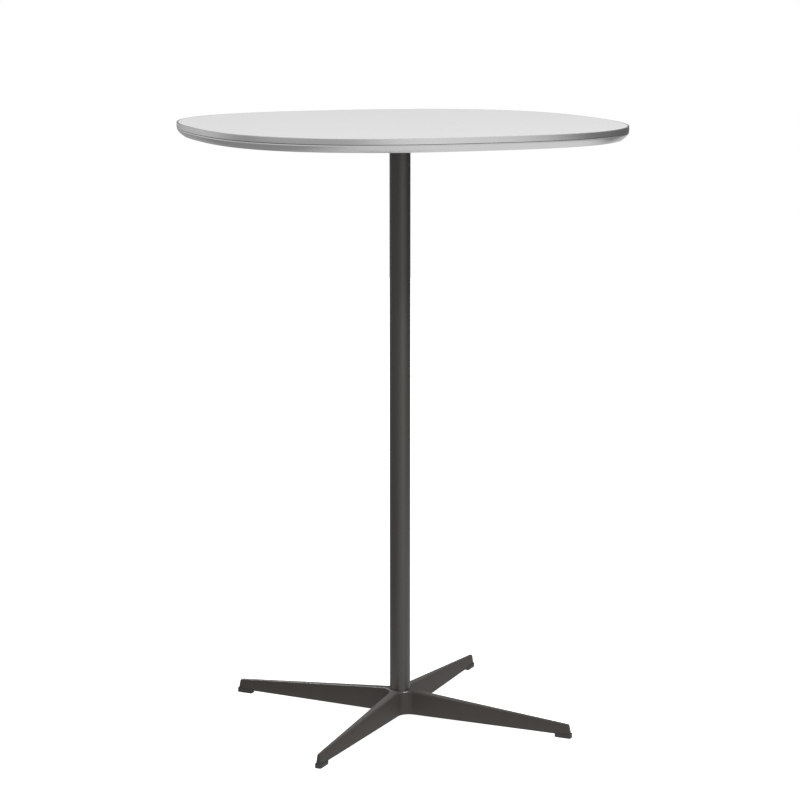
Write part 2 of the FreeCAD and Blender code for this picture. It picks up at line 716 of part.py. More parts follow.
def glide(name, angle):
    """A moulded shoe under one leg's tip: a sole, and a rim that the tip sits in."""
    body = new_body("glide_" + name)
    sole = draw_corners(new_sketch(body, name + "_sole", "XY_Plane", "0"), [
        ("glide_start", "-glide_half"), ("glide_end", "-glide_half"),
        ("glide_end", "glide_half"), ("glide_start", "glide_half")])
    block = pad_feature(body, name + "_block", "PartDesign::Pad", sole, "glide_rim")

    def corner_at(distance):
        def test(edge):
            ends = [vertex.Point for vertex in edge.Vertexes]
            return len(ends) == 2 and all(abs(end.x - value(distance)) < 0.01 for end in ends) \
                and abs(ends[0].z - ends[1].z) > 1
        return test

    nose = round_edges(body, name + "_nose", block, "glide_corner", corner_at("glide_end"))
    heel = round_edges(body, name + "_heel", nose, "glide_heel_corner", corner_at("glide_start"))
    soft = round_edges(body, name + "_sole_round", heel, "glide_sole_round",
                       lambda edge: max(vertex.Point.z for vertex in edge.Vertexes) < 0.01)
    slope = draw_corners(new_sketch(body, name + "_rim_slope", "XZ_Plane", "-glide_half - 1"), [
        ("glide_start - 1", "glide_heel"), ("glide_start + 9", "glide_heel"),
        ("glide_end + 1", "glide_rim + 0.1"), ("glide_start - 1", "glide_rim + 0.1")])
    sloped = pad_feature(body, name + "_rim_cut", "PartDesign::Pocket", slope, "2 * glide_half + 2", True)
    removed(soft, sloped, name + " rim slope")
    seat_half = "leg_root_half - leg_narrowing * {} + glue_gap"
    start = seat_half.format("(glide_start - 1)")
    end = seat_half.format("leg_reach")
    seat = draw_corners(new_sketch(body, name + "_seat", "XY_Plane", "underside"), [
        ("glide_start - 1", f"-({start})"), ("leg_reach + glue_gap", f"-({end})"),
        ("leg_reach + glue_gap", end), ("glide_start - 1", start)])
    seated = pad_feature(body, name + "_seat_cut", "PartDesign::Pocket", seat, "glide_rim", True)
    removed(sloped, seated, name + " seat")
    screw_hole = draw_circles(new_sketch(body, name + "_hole", "XY_Plane", "0"),
                              "glide_screw_radius + 0.1", [("glide_screw_place", "0")])
    drilled = pad_feature(body, name + "_drilling", "PartDesign::Pocket", screw_hole, "glide_rim", True)
    removed(seated, drilled, name + " screw hole")
    recess = draw_circles(new_sketch(body, name + "_recess", "XY_Plane", "0"),
                          "glide_head_radius + 0.2", [("glide_screw_place", "0")])
    sunk = pad_feature(body, name + "_recess_cut", "PartDesign::Pocket", recess,
                       "glide_head_recess + glide_head_height", True)
    removed(drilled, sunk, name + " recess")
    body.Placement = FreeCAD.Placement(FreeCAD.Vector(0, 0, 0), turned(angle))
    return body


def glide_screws():
    screws = []
    for number, (across, along) in enumerate(on_diagonals(["glide_screw_place"]), start=1):
        name = f"glide_screw_{number}"
        seat = "glide_head_recess + glide_head_height"
        head = cylinder(name + "_head", "glide_head_radius", "glide_head_recess", seat, across, along)
        shank = cylinder(name + "_shank", "glide_screw_radius - 0.05", seat,
                         f"{seat} + glide_screw_length - 2", across, along)
        key = hexagon(name + "_key", "glide_key_width", "glide_head_recess - 1",
                      "glide_head_recess + 1.2", across, along)
        screws.append(cut(name, fused(name + "_blank", [head, shank]), key))
    return grouped("glide_screws", screws)


# ---- whole table ------------------------------------------------------------------

def make_pieces():
    pieces = [
        core_board(), laminate("top_laminate", "core_top", "edge_wall + glue_gap"), underside_laminate(),
        edge_profile(), edge_joint_pins(),
        top_bracket(), threaded_inserts(), bracket_screws(),
        column_tube(), centring_plug("head_plug", "tube_top", -1), centring_plug("foot_plug", "tube_bottom", 1),
        dowel("head_dowel", "tube_top"), dowel("foot_dowel", "tube_bottom"), tie_rod(),
        ring("head_washer", "washer_radius", "rod_hole_radius", "web_top", "web_top + washer_thickness"),
        nut("head_nut", "web_top + washer_thickness", "thin_nut_height"),
        ring("foot_washer", "foot_washer_radius", "rod_hole_radius",
             "foot_ceiling - foot_washer_thickness", "foot_ceiling"),
        spring_washer(), nut("foot_nut", "foot_nut_top - nut_height", "nut_height"),
        base_casting(), glide_screws()]
    pieces += [glide(name, angle) for name, angle in LEG_ANGLES.items()]
    return pieces


def check_and_write(pieces):
    doc.recompute()
    for item in doc.Objects:
        if "Invalid" in item.State or "Error" in item.State:
            raise RuntimeError(f"{item.Name} failed: {item.State}")
    os.makedirs("parts", exist_ok=True)
    for piece in pieces:
        shape = piece.Shape
        if shape.isNull() or not shape.isValid() or not shape.Solids:
            raise RuntimeError(f"{piece.Label} has no valid solid")
        shape.exportStep(f"parts/{piece.Label}.step")
        print(f"{piece.Label:20s} {len(shape.Solids):2d} solids {shape.Volume / 1000:10.2f} cm3")


fill_sheet()
check_and_write(make_pieces())
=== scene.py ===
import json
import math
import bpy
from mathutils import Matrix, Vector

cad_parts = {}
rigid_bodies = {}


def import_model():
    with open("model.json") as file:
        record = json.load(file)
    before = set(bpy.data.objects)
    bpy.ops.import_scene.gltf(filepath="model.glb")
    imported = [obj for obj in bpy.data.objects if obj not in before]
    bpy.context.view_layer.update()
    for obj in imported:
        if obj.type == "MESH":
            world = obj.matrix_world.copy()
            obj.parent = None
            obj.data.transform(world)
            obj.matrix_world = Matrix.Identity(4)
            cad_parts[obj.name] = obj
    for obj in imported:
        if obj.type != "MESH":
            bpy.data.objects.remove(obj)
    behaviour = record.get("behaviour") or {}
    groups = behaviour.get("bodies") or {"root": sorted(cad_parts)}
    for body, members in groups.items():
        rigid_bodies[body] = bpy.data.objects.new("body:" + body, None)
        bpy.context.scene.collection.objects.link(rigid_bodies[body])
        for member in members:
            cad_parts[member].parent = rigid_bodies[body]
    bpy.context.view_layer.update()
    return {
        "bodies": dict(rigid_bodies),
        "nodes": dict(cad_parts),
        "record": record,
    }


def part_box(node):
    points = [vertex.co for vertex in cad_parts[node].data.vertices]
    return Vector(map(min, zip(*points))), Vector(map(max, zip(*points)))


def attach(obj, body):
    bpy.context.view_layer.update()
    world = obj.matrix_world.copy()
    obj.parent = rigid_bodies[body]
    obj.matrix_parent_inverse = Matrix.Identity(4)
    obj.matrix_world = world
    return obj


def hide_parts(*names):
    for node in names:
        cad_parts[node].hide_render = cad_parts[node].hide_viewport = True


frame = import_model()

# A bar-height bistro table: pale laminate top in a metal edge, slim coated column, cast star
# base on moulded glides.  Lengths are metres, in the same frame as the design: the origin is
# on the floor under the column, +Z is up, and the top's straighter sides face X and Y.

nodes = frame["nodes"]
root = list(frame["bodies"])[0]

MM = 0.001
# two places closer than this are the same place
NEAR = 0.00001
TOP_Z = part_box("top_laminate")[1].z
TOP_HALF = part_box("edge_profile")[1].x
TOP_UNDER_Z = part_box("edge_profile")[0].z
OUTLINE_POWER = 2.6
OUTLINE_STEPS = 480

# the edge profile's section, as inset from the outline and depth under the top face
LIP_WIDTH = 3.0 * MM
LIP_ROUND = 0.8 * MM
BAND_DEPTH = 9.3 * MM
GROOVE_DEPTH = 1.3 * MM
GROOVE_HEIGHT = 1.0 * MM
BEVEL_TOP = 12.2 * MM
BEVEL_INSET = 11.5 * MM
BEVEL_BULGE = 0.7 * MM
FOOT_INSET = 14.0 * MM
FOOT_HEIGHT = 1.9 * MM
GROOVE_ROUND = 0.2 * MM
BEVEL_ROUND = 0.35 * MM
EDGE_DEPTH = TOP_Z - TOP_UNDER_Z
JOINT_GAP = 0.3 * MM

# the laminate sheet inside the edge's lip
SHEET_INSET = 3.05 * MM
SHEET_THICK = 0.9 * MM
SHEET_EASE = 0.15 * MM
# how far inside its eased arris the sheet's inner rings lie
SHEET_RINGS = (0.012, 0.03, 0.06, 0.11, 0.18, 0.26, 0.34)


# ---- camera, floor and light ------------------------------------------------------

VIEW_TURN = math.radians(20.18)
VIEW_DISTANCE = 4.1189
VIEW_HEIGHT = 1.3215
VIEW_PITCH = math.radians(10.353)
VIEW_LENS = 108.23


def make_camera():
    """A camera a little above the top, looking slightly down."""
    place = (-VIEW_DISTANCE * math.sin(VIEW_TURN), -VIEW_DISTANCE * math.cos(VIEW_TURN), VIEW_HEIGHT)
    bpy.ops.object.camera_add(location=place, rotation=(math.pi / 2 - VIEW_PITCH, 0, -VIEW_TURN))
    camera = bpy.context.object
    camera.name = "camera"
    camera.data.sensor_width = 36
    camera.data.lens = VIEW_LENS
    camera.data.clip_end = 100
    bpy.context.scene.camera = camera


def aim(thing, target):
    """Turn a lamp so that it shines at a place."""
    thing.rotation_euler = (Vector(target) - thing.location).to_track_quat("-Z", "Y").to_euler()


def softbox(name, bearing, distance, height, width, tall, power, target=(0, 0, 0.6)):
    """A soft panel light; bearing is degrees to the right of the camera, seen from the table."""
    turn = VIEW_TURN - math.radians(bearing)
    place = (-distance * math.sin(turn), -distance * math.cos(turn), height)
    bpy.ops.object.light_add(type="AREA", location=place)
    lamp = bpy.context.object
    lamp.name = name
    lamp.data.shape = "RECTANGLE"
    lamp.data.size = width
    lamp.data.size_y = tall
    lamp.data.energy = power
    lamp.visible_camera = False
    aim(lamp, target)
    return lamp


# the room as a light: degrees to the right of the camera, then brightness.  One wide window in
# front on the right, a smaller one behind on the left, grey wall between, a dim right-hand corner
ROOM_LEVELS = [(-180, 0.25), (-135, 0.6), (-95, 0.35), (-70, 0.45), (-15, 0.45), (30, 0.85),
               (100, 0.2), (150, 0.12)]
# the level overhead, and how far up a direction points where it starts and is reached
ROOM_DOME = 0.70
DOME_START = 0.12
DOME_FULL = 0.6
# the floor near the table, dim on the left and bright on the right: metres to the right of the
# column across the view, then brightness
FLOOR_SPAN = 1.5
FLOOR_LEVELS = [(-1.5, 0.27), (-0.7, 0.3), (0.0, 0.7), (0.4, 0.8)]
# the floor further out, by bearing as for the room, and the reach where it takes over
FAR_FLOOR_LEVELS = [(-180, 0.6), (-140, 0.25), (-60, 0.35), (-15, 0.45), (30, 0.85), (110, 0.12),
                    (130, 0.15), (160, 0.65)]
FLOOR_NEAR_REACH = 1.3
FLOOR_FAR_REACH = 2.0


def fill_ramp(ramp, stops):
    """Put greys on a colour ramp, each turning softly into the next."""
    ramp.color_ramp.interpolation = "EASE"
    while len(ramp.color_ramp.elements) < len(stops):
        ramp.color_ramp.elements.new(0.5)
    for element, (place, level) in zip(ramp.color_ramp.elements, stops):
        element.position = place
        element.color = (level, level, level, 1)


def bearing_ramp(tree, vector, levels):
    """A grey that changes with the direction of a vector seen from above."""
    split = tree.nodes.new("ShaderNodeSeparateXYZ")
    tree.links.new(vector, split.inputs[0])
    turn = tree.nodes.new("ShaderNodeMath")
    turn.operation = "ARCTAN2"
    tree.links.new(split.outputs["Y"], turn.inputs[0])
    tree.links.new(split.outputs["X"], turn.inputs[1])
    share = tree.nodes.new("ShaderNodeMapRange")
    share.inputs["From Min"].default_value = -math.pi
    share.inputs["From Max"].default_value = math.pi
    tree.links.new(turn.outputs[0], share.inputs["Value"])
    ramp = tree.nodes.new("ShaderNodeValToRGB")
    tree.links.new(share.outputs["Result"], ramp.inputs["Fac"])
    stops = []
    for bearing, level in levels:
        angle = VIEW_TURN - math.radians(bearing)
        direction = math.atan2(-math.cos(angle), -math.sin(angle))
        stops.append(((direction + math.pi) / (2 * math.pi) % 1, level))
    stops.sort()
    (first, first_level), (last, last_level) = stops[0], stops[-1]
    seam = last_level + (first_level - last_level) * (1 - last) / (1 - last + first)
    fill_ramp(ramp, [(0, seam)] + stops + [(1, seam)])
    return ramp.outputs["Color"], split.outputs["Z"]


def across_ramp(tree, levels):
    """A grey that changes across the view, by how far a place is to the right of the column."""
    where = tree.nodes.new("ShaderNodeTexCoord")
    across = tree.nodes.new("ShaderNodeVectorMath")
    across.operation = "DOT_PRODUCT"
    across.inputs[1].default_value = (math.cos(VIEW_TURN), -math.sin(VIEW_TURN), 0)
    tree.links.new(where.outputs["Object"], across.inputs[0])
    share = tree.nodes.new("ShaderNodeMapRange")
    share.inputs["From Min"].default_value = -FLOOR_SPAN
    share.inputs["From Max"].default_value = FLOOR_SPAN
    tree.links.new(across.outputs["Value"], share.inputs["Value"])
    ramp = tree.nodes.new("ShaderNodeValToRGB")
    tree.links.new(share.outputs["Result"], ramp.inputs["Fac"])
    fill_ramp(ramp, [((place + FLOOR_SPAN) / (2 * FLOOR_SPAN), level) for place, level in levels])
    return ramp.outputs["Color"], where.outputs["Object"]


def floor_shade(tree):
    """The floor's brightness as a light: across the view near the table, by bearing further out."""
    near, place = across_ramp(tree, FLOOR_LEVELS)
    far, _ = bearing_ramp(tree, place, FAR_FLOOR_LEVELS)
    reach = tree.nodes.new("ShaderNodeVectorMath")
    reach.operation = "LENGTH"
    tree.links.new(place, reach.inputs[0])
    share = tree.nodes.new("ShaderNodeMapRange")
    share.inputs["From Min"].default_value = FLOOR_NEAR_REACH
    share.inputs["From Max"].default_value = FLOOR_FAR_REACH
    tree.links.new(reach.outputs["Value"], share.inputs["Value"])
    blend = tree.nodes.new("ShaderNodeMix")
    blend.data_type = "RGBA"
    tree.links.new(share.outputs["Result"], blend.inputs["Factor"])
    tree.links.new(near, blend.inputs["A"])
    tree.links.new(far, blend.inputs["B"])
    return blend.outputs["Result"]


def studio_air():
    """An even pale surround: white to look at, and graded from side to side as a light."""
    world = bpy.data.worlds.new("studio_air")
    bpy.context.scene.world = world
    world.use_nodes = True
    tree = world.node_tree
    tree.nodes.clear()
    where = tree.nodes.new("ShaderNodeTexCoord")
    sides, height = bearing_ramp(tree, where.outputs["Generated"], ROOM_LEVELS)
    rise = tree.nodes.new("ShaderNodeMapRange")
    rise.inputs["From Min"].default_value = DOME_START
    rise.inputs["From Max"].default_value = DOME_FULL
    tree.links.new(height, rise.inputs["Value"])
    dome = tree.nodes.new("ShaderNodeMix")
    dome.data_type = "RGBA"
    tree.links.new(rise.outputs["Result"], dome.inputs["Factor"])
    tree.links.new(sides, dome.inputs["A"])
    dome.inputs["B"].default_value = (*[ROOM_DOME] * 3, 1)
    light = tree.nodes.new("ShaderNodeBackground")
    tree.links.new(dome.outputs["Result"], light.inputs["Color"])
    plain = tree.nodes.new("ShaderNodeBackground")
    plain.inputs["Color"].default_value = (1, 1, 1, 1)
    seen = tree.nodes.new("ShaderNodeLightPath")
    choose = tree.nodes.new("ShaderNodeMixShader")
    tree.links.new(seen.outputs["Is Camera Ray"], choose.inputs["Fac"])
    tree.links.new(light.outputs[0], choose.inputs[1])
    tree.links.new(plain.outputs[0], choose.inputs[2])
    out = tree.nodes.new("ShaderNodeOutputWorld")
    tree.links.new(choose.outputs[0], out.inputs["Surface"])


FLOOR_RADIUS = 6.0
FLOOR_LIFT = 0.95


def make_floor():
    """A pale floor, washed out to look at, and open when it is looked at from below."""
    bpy.ops.mesh.primitive_circle_add(vertices=96, radius=FLOOR_RADIUS, fill_type="NGON", location=(0, 0, 0))
    floor = bpy.context.object
    floor.name = "studio_floor"
    material = bpy.data.materials.new("pale_floor")
    material.use_nodes = True
    tree = material.node_tree
    tree.nodes.clear()
    glow = tree.nodes.new("ShaderNodeEmission")
    tree.links.new(floor_shade(tree), glow.inputs["Color"])
    pale = tree.nodes.new("ShaderNodeBsdfDiffuse")
    pale.inputs["Color"].default_value = (0.7, 0.7, 0.7, 1)
    lift = tree.nodes.new("ShaderNodeEmission")
    lift.inputs["Strength"].default_value = FLOOR_LIFT
    washed = tree.nodes.new("ShaderNodeAddShader")
    tree.links.new(pale.outputs[0], washed.inputs[0])
    tree.links.new(lift.outputs[0], washed.inputs[1])
    seen = tree.nodes.new("ShaderNodeLightPath")
    choose = tree.nodes.new("ShaderNodeMixShader")
    tree.links.new(seen.outputs["Is Camera Ray"], choose.inputs["Fac"])
    tree.links.new(glow.outputs[0], choose.inputs[1])
    tree.links.new(washed.outputs[0], choose.inputs[2])
    side = tree.nodes.new("ShaderNodeNewGeometry")
    below = tree.nodes.new("ShaderNodeMath")
    below.operation = "MULTIPLY"
    tree.links.new(side.outputs["Backfacing"], below.inputs[0])
    tree.links.new(seen.outputs["Is Camera Ray"], below.inputs[1])
    open_below = tree.nodes.new("ShaderNodeBsdfTransparent")
    one_sided = tree.nodes.new("ShaderNodeMixShader")
    tree.links.new(below.outputs[0], one_sided.inputs["Fac"])
    tree.links.new(choose.outputs[0], one_sided.inputs[1])
    tree.links.new(open_below.outputs[0], one_sided.inputs[2])
    out = tree.nodes.new("ShaderNodeOutputMaterial")
    tree.links.new(one_sided.outputs[0], out.inputs["Surface"])
    floor.data.materials.append(material)


GLINT_SIZE = 0.45
COATED = bpy.data.collections.new("coated_pieces")


def glint_on_coat(name, bearing, distance, height, power):
    """A small lamp that only puts bright glints on the coated pieces."""
    lamp = softbox(name, bearing, distance, height, GLINT_SIZE, GLINT_SIZE, power, target=(0, 0, 0.05))
    lamp.visible_diffuse = False
    lamp.light_linking.receiver_collection = COATED


def light_studio():
    """Soft panels in front, behind and overhead, and the coat's two glints."""
    key = softbox("key_panel", bearing=38, distance=3.2, height=3.7, width=1.1, tall=1.1, power=70)
    rear = softbox("rear_panel", bearing=-135, distance=3.2, height=3.2, width=1.0, tall=1.0, power=22)
    key.visible_glossy = False
    rear.visible_glossy = False
    glint_on_coat("front_glint", bearing=38, distance=3.2, height=3.4, power=320)
    glint_on_coat("rear_glint", bearing=-138, distance=3.2, height=2.9, power=150)
    softbox("overhead_panel", bearing=0, distance=0.3, height=4.2, width=3.0, tall=3.0, power=22,
            target=(0, 0, 0))


# ---- shader groups ----------------------------------------------------------------

def new_group(name, inputs, outputs):
    """An empty shader group; inputs are (name, value) and outputs are names of numbers."""
    group = bpy.data.node_groups.new(name, "ShaderNodeTree")
    for label, number in inputs:
        socket = group.interface.new_socket(label, in_out="INPUT", socket_type="NodeSocketFloat")
        socket.default_value = number
    for label in outputs:
        group.interface.new_socket(label, in_out="OUTPUT", socket_type="NodeSocketFloat")
    entry = group.nodes.new("NodeGroupInput")
    leave = group.nodes.new("NodeGroupOutput")
    return group, entry, leave


def add_math(tree, operation, first, second):
    """A math node on two items, each a number or a socket."""
    node = tree.nodes.new("ShaderNodeMath")
    node.operation = operation
    for socket, item in zip(node.inputs, (first, second)):
        if isinstance(item, (int, float)):
            socket.default_value = item
        else:
            tree.links.new(item, socket)
    return node.outputs[0]


def add_noise(tree, coordinates, scale, detail=2.0, rough=0.5):
    node = tree.nodes.new("ShaderNodeTexNoise")
    node.inputs["Detail"].default_value = detail
    node.inputs["Roughness"].default_value = rough
    tree.links.new(coordinates, node.inputs["Vector"])
    if isinstance(scale, (int, float)):
        node.inputs["Scale"].default_value = scale
    else:
        tree.links.new(scale, node.inputs["Scale"])
    return node.outputs["Fac"]


def object_place(tree, stretch=None):
    """The place on a piece in metres, stretched along each axis where that is asked for."""
    node = tree.nodes.new("ShaderNodeTexCoord")
    if stretch is None:
        return node.outputs["Object"]
    mapping = tree.nodes.new("ShaderNodeMapping")
    mapping.inputs["Scale"].default_value = stretch
    tree.links.new(node.outputs["Object"], mapping.inputs["Vector"])
    return mapping.outputs["Vector"]


def surface_grain_group():
    """Fine orange-peel grain over a slow cloudy change, for coats, plastics and laminate."""
    group, entry, leave = new_group("surface_grain", [("Grain Scale", 1500.0), ("Cloud Scale", 6.0),
                                                      ("Grain Share", 0.7)],
                                    ["Height", "Cloud", "Fleck"])
    place = object_place(group)
    fine = add_noise(group, place, entry.outputs["Grain Scale"], 2.0, 0.55)
    wide = add_noise(group, place, add_math(group, "MULTIPLY", entry.outputs["Grain Scale"], 0.22), 2.0)
    cloud = add_noise(group, place, entry.outputs["Cloud Scale"], 4.0, 0.6)
    share = entry.outputs["Grain Share"]
    kept = add_math(group, "MULTIPLY", fine, share)
    rest = add_math(group, "MULTIPLY", wide, add_math(group, "SUBTRACT", 1.0, share))
    group.links.new(add_math(group, "ADD", kept, rest), leave.inputs["Height"])
    group.links.new(cloud, leave.inputs["Cloud"])
    group.links.new(fine, leave.inputs["Fleck"])
    return group


def settled_dust_group():
    """A thin uneven film on faces that look up, as a mask."""
    group, entry, leave = new_group("settled_dust", [("Amount", 0.1), ("Patch Scale", 9.0)], ["Mask"])
    where = group.nodes.new("ShaderNodeNewGeometry")
    split = group.nodes.new("ShaderNodeSeparateXYZ")
    group.links.new(where.outputs["Normal"], split.inputs[0])
    up = add_math(group, "MAXIMUM", split.outputs["Z"], 0.0)
    up = add_math(group, "POWER", up, 3.0)
    patches = add_noise(group, object_place(group), entry.outputs["Patch Scale"], 5.0, 0.65)
    film = add_math(group, "MULTIPLY", up, patches)
    group.links.new(add_math(group, "MULTIPLY", film, entry.outputs["Amount"]), leave.inputs["Mask"])
    return group


def rubbed_edge_group():
    """Where a coat is thinner or a metal is polished on its sharper corners, as a mask."""
    group, entry, leave = new_group("rubbed_edge", [("Amount", 0.5), ("Break Scale", 60.0)], ["Mask"])
    where = group.nodes.new("ShaderNodeNewGeometry")
    sharp = group.nodes.new("ShaderNodeMapRange")
    sharp.inputs["From Min"].default_value = 0.52
    sharp.inputs["From Max"].default_value = 0.62
    group.links.new(where.outputs["Pointiness"], sharp.inputs["Value"])
    broken = add_noise(group, object_place(group), entry.outputs["Break Scale"], 4.0, 0.6)
    mask = add_math(group, "MULTIPLY", sharp.outputs["Result"], broken)
    group.links.new(add_math(group, "MULTIPLY", mask, entry.outputs["Amount"]), leave.inputs["Mask"])
    return group


def hand_marks_group():
    """Faint smears and hair scratches that only change how a surface shines."""
    group, entry, leave = new_group("hand_marks", [("Smear", 0.06), ("Scratch", 0.05)],
                                    ["Roughness Shift", "Height"])
    place = object_place(group)
    smear = add_noise(group, place, 7.0, 5.0, 0.7)
    smear = add_math(group, "MULTIPLY", add_math(group, "SUBTRACT", smear, 0.5), entry.outputs["Smear"])
    hairs = []
    for stretch in ((900, 14, 14), (14, 900, 14), (640, 600, 14)):
        line = add_noise(group, object_place(group, stretch), 1.0, 1.0)
        hairs.append(add_math(group, "GREATER_THAN", line, 0.735))
    hair = add_math(group, "MAXIMUM", add_math(group, "MAXIMUM", hairs[0], hairs[1]), hairs[2])
    shift = add_math(group, "ADD", smear, add_math(group, "MULTIPLY", hair, entry.outputs["Scratch"]))
    group.links.new(shift, leave.inputs["Roughness Shift"])
    group.links.new(add_math(group, "SUBTRACT", 1.0, hair), leave.inputs["Height"])
    return group


def groove_painted_shade_group():
    """Painted shade held between two heights, a little patchy, as a mask: a near-black colour standing in
    for a groove's shadow.
    """
    group, entry, leave = new_group("groove_painted_shade", [("Low", 0.0), ("High", 1.0)], ["Mask"])
    place = object_place(group)
    split = group.nodes.new("ShaderNodeSeparateXYZ")
    group.links.new(place, split.inputs[0])
    above = add_math(group, "GREATER_THAN", split.outputs["Z"], entry.outputs["Low"])
    below = add_math(group, "LESS_THAN", split.outputs["Z"], entry.outputs["High"])
    patches = add_noise(group, place, 30.0, 4.0, 0.6)
    held = add_math(group, "ADD", add_math(group, "MULTIPLY", patches, 0.4), 0.65)
    within = add_math(group, "MULTIPLY", above, below)
    group.links.new(add_math(group, "MULTIPLY", within, held), leave.inputs["Mask"])
    return group


GRAIN = surface_grain_group()
DUST = settled_dust_group()
RUBBED = rubbed_edge_group()
MARKS = hand_marks_group()
# the last group is painted shade, for the groove in the metal edge
PAINTED_SHADE = groove_painted_shade_group()


# ---- materials --------------------------------------------------------------------

def use_group(tree, group, **numbers):
    """Put a shader group in a material, with its own values."""
    node = tree.nodes.new("ShaderNodeGroup")
    node.node_tree = group
    for name, number in numbers.items():
        node.inputs[name.replace("_", " ").title()].default_value = number
    return node


def new_finish(name, **constants):
    """A material with only a Principled shader, and its plain numbers set on it."""
    material = bpy.data.materials.new(name)
    material.use_nodes = True
    tree = material.node_tree
    tree.nodes.clear()
    shader = tree.nodes.new("ShaderNodeBsdfPrincipled")
    out = tree.nodes.new("ShaderNodeOutputMaterial")
    tree.links.new(shader.outputs[0], out.inputs["Surface"])
    for label, number in constants.items():
        shader.inputs[label.replace("_", " ").title().replace("Ior", "IOR")].default_value = number
    return material, tree, shader


def blend_colours(tree, mask, first, second):
    node = tree.nodes.new("ShaderNodeMix")
    node.data_type = "RGBA"
    tree.links.new(mask, node.inputs["Factor"])
    for label, item in (("A", first), ("B", second)):
        if isinstance(item, tuple):
            node.inputs[label].default_value = (*item, 1)
        else:
            tree.links.new(item, node.inputs[label])
    return node.outputs["Result"]


def set_bump(tree, shader, height, strength, distance):
    node = tree.nodes.new("ShaderNodeBump")
    node.inputs["Strength"].default_value = strength
    node.inputs["Distance"].default_value = distance
    tree.links.new(height, node.inputs["Height"])
    tree.links.new(node.outputs["Normal"], shader.inputs["Normal"])


def grained_finish(name, dark, light, rough, rough_spread, grain_scale, bump, **constants):
    """A grained, slightly cloudy finish; dark and light are its colour's two ends."""
    material, tree, shader = new_finish(name, **constants)
    grain = use_group(tree, GRAIN, grain_scale=grain_scale)
    colour = blend_colours(tree, grain.outputs["Cloud"], dark, light)
    spread = add_math(tree, "MULTIPLY", grain.outputs["Fleck"], rough_spread)
    roughness = add_math(tree, "ADD", spread, rough - rough_spread / 2)
    tree.links.new(roughness, shader.inputs["Roughness"])
    set_bump(tree, shader, grain.outputs["Height"], bump, 0.1 * MM)
    return material, tree, shader, colour, roughness


def coated_metal(name, dark, light, rough, peel, shine, veil_share):
    """Satin dark brown-grey powder coat with a fine peel, thin on corners, a little dusty."""
    material, tree, shader, colour, roughness = grained_finish(
        name, dark, light, rough, 0.06, peel, 0.2, specular_ior_level=shine)
    rubbed = use_group(tree, RUBBED, amount=0.5)
    dust = use_group(tree, DUST, amount=0.06)
    facing = tree.nodes.new("ShaderNodeLayerWeight")
    facing.inputs["Blend"].default_value = 0.5
    veil = add_math(tree, "MULTIPLY", add_math(tree, "POWER", facing.outputs["Facing"], 2.0), veil_share)
    tree.links.new(add_math(tree, "ADD", roughness, veil), shader.inputs["Roughness"])
    worn = blend_colours(tree, rubbed.outputs["Mask"], colour, (0.11, 0.105, 0.10))
    tree.links.new(blend_colours(tree, dust.outputs["Mask"], worn, (0.36, 0.34, 0.31)),
                   shader.inputs["Base Color"])
    return material


def pale_laminate():
    """Satin off-white pressed laminate with a fine tooth and faint wipe marks."""
    material, tree, shader, colour, roughness = grained_finish(
        "pale_laminate", (0.72, 0.72, 0.72), (0.74, 0.74, 0.74), 0.42, 0.05, 2200, 0.12)
    marks = use_group(tree, MARKS, smear=0.08, scratch=0.05)
    tree.links.new(colour, shader.inputs["Base Color"])
    total = add_math(tree, "ADD", roughness, marks.outputs["Roughness Shift"])
    tree.links.new(total, shader.inputs["Roughness"])
    return material


def backing_laminate():
    """Plain grey backing sheet, duller than the face; its grey is a guess, set dark partly as painted shade
    for the underside of the top, so that it also throws less light onto the column.
    """
    material, tree, shader, colour, _ = grained_finish(
        "backing_laminate", (0.21, 0.21, 0.205), (0.25, 0.25, 0.245), 0.6, 0.06, 1500, 0.2)
    tree.links.new(colour, shader.inputs["Base Color"])
    return material


def edge_metal():
    """Satin metal with fine lines drawn along it, rubbed brighter on its corners, and painted near-black in
    its groove as painted shade.
    """
    material, tree, shader = new_finish("edge_metal", metallic=1.0, anisotropic=0.0)
    lines = add_noise(tree, object_place(tree, (2, 2, 2600)), 1.0, 3.0, 0.6)
    cloud = add_noise(tree, object_place(tree), 12.0, 4.0, 0.6)
    marks = use_group(tree, MARKS, smear=0.1, scratch=0.0)
    rubbed = use_group(tree, RUBBED, amount=0.6)
    tone = blend_colours(tree, cloud, (0.70, 0.70, 0.71), (0.76, 0.76, 0.765))
    worn = blend_colours(tree, rubbed.outputs["Mask"], tone, (0.85, 0.85, 0.855))
    # painted shade: the groove under the band is coloured near-black and made duller, standing in for its
    # shadow
    painted_shade = use_group(tree, PAINTED_SHADE, low=TOP_Z - BAND_DEPTH - GROOVE_HEIGHT, high=TOP_Z - BAND_DEPTH)
    tree.links.new(blend_colours(tree, painted_shade.outputs["Mask"], worn, (0.11, 0.108, 0.104)),
                   shader.inputs["Base Color"])
    rough = add_math(tree, "ADD", add_math(tree, "MULTIPLY", lines, 0.1), 0.2)
    rough = add_math(tree, "ADD", rough, marks.outputs["Roughness Shift"])
    groove_dulling = add_math(tree, "MULTIPLY", painted_shade.outputs["Mask"], 0.5)
    tree.links.new(add_math(tree, "ADD", rough, groove_dulling), shader.inputs["Roughness"])
    set_bump(tree, shader, lines, 0.05, 0.05 * MM)
    return material


def glide_plastic():
    """Black moulded plastic, scuffed paler on its corners."""
    material, tree, shader, colour, _ = grained_finish(
        "glide_plastic", (0.026, 0.026, 0.025), (0.034, 0.034, 0.033), 0.5, 0.1, 1800, 0.3)
    rubbed = use_group(tree, RUBBED, amount=0.8)
    tree.links.new(blend_colours(tree, rubbed.outputs["Mask"], colour, (0.12, 0.12, 0.12)),
                   shader.inputs["Base Color"])
    return material


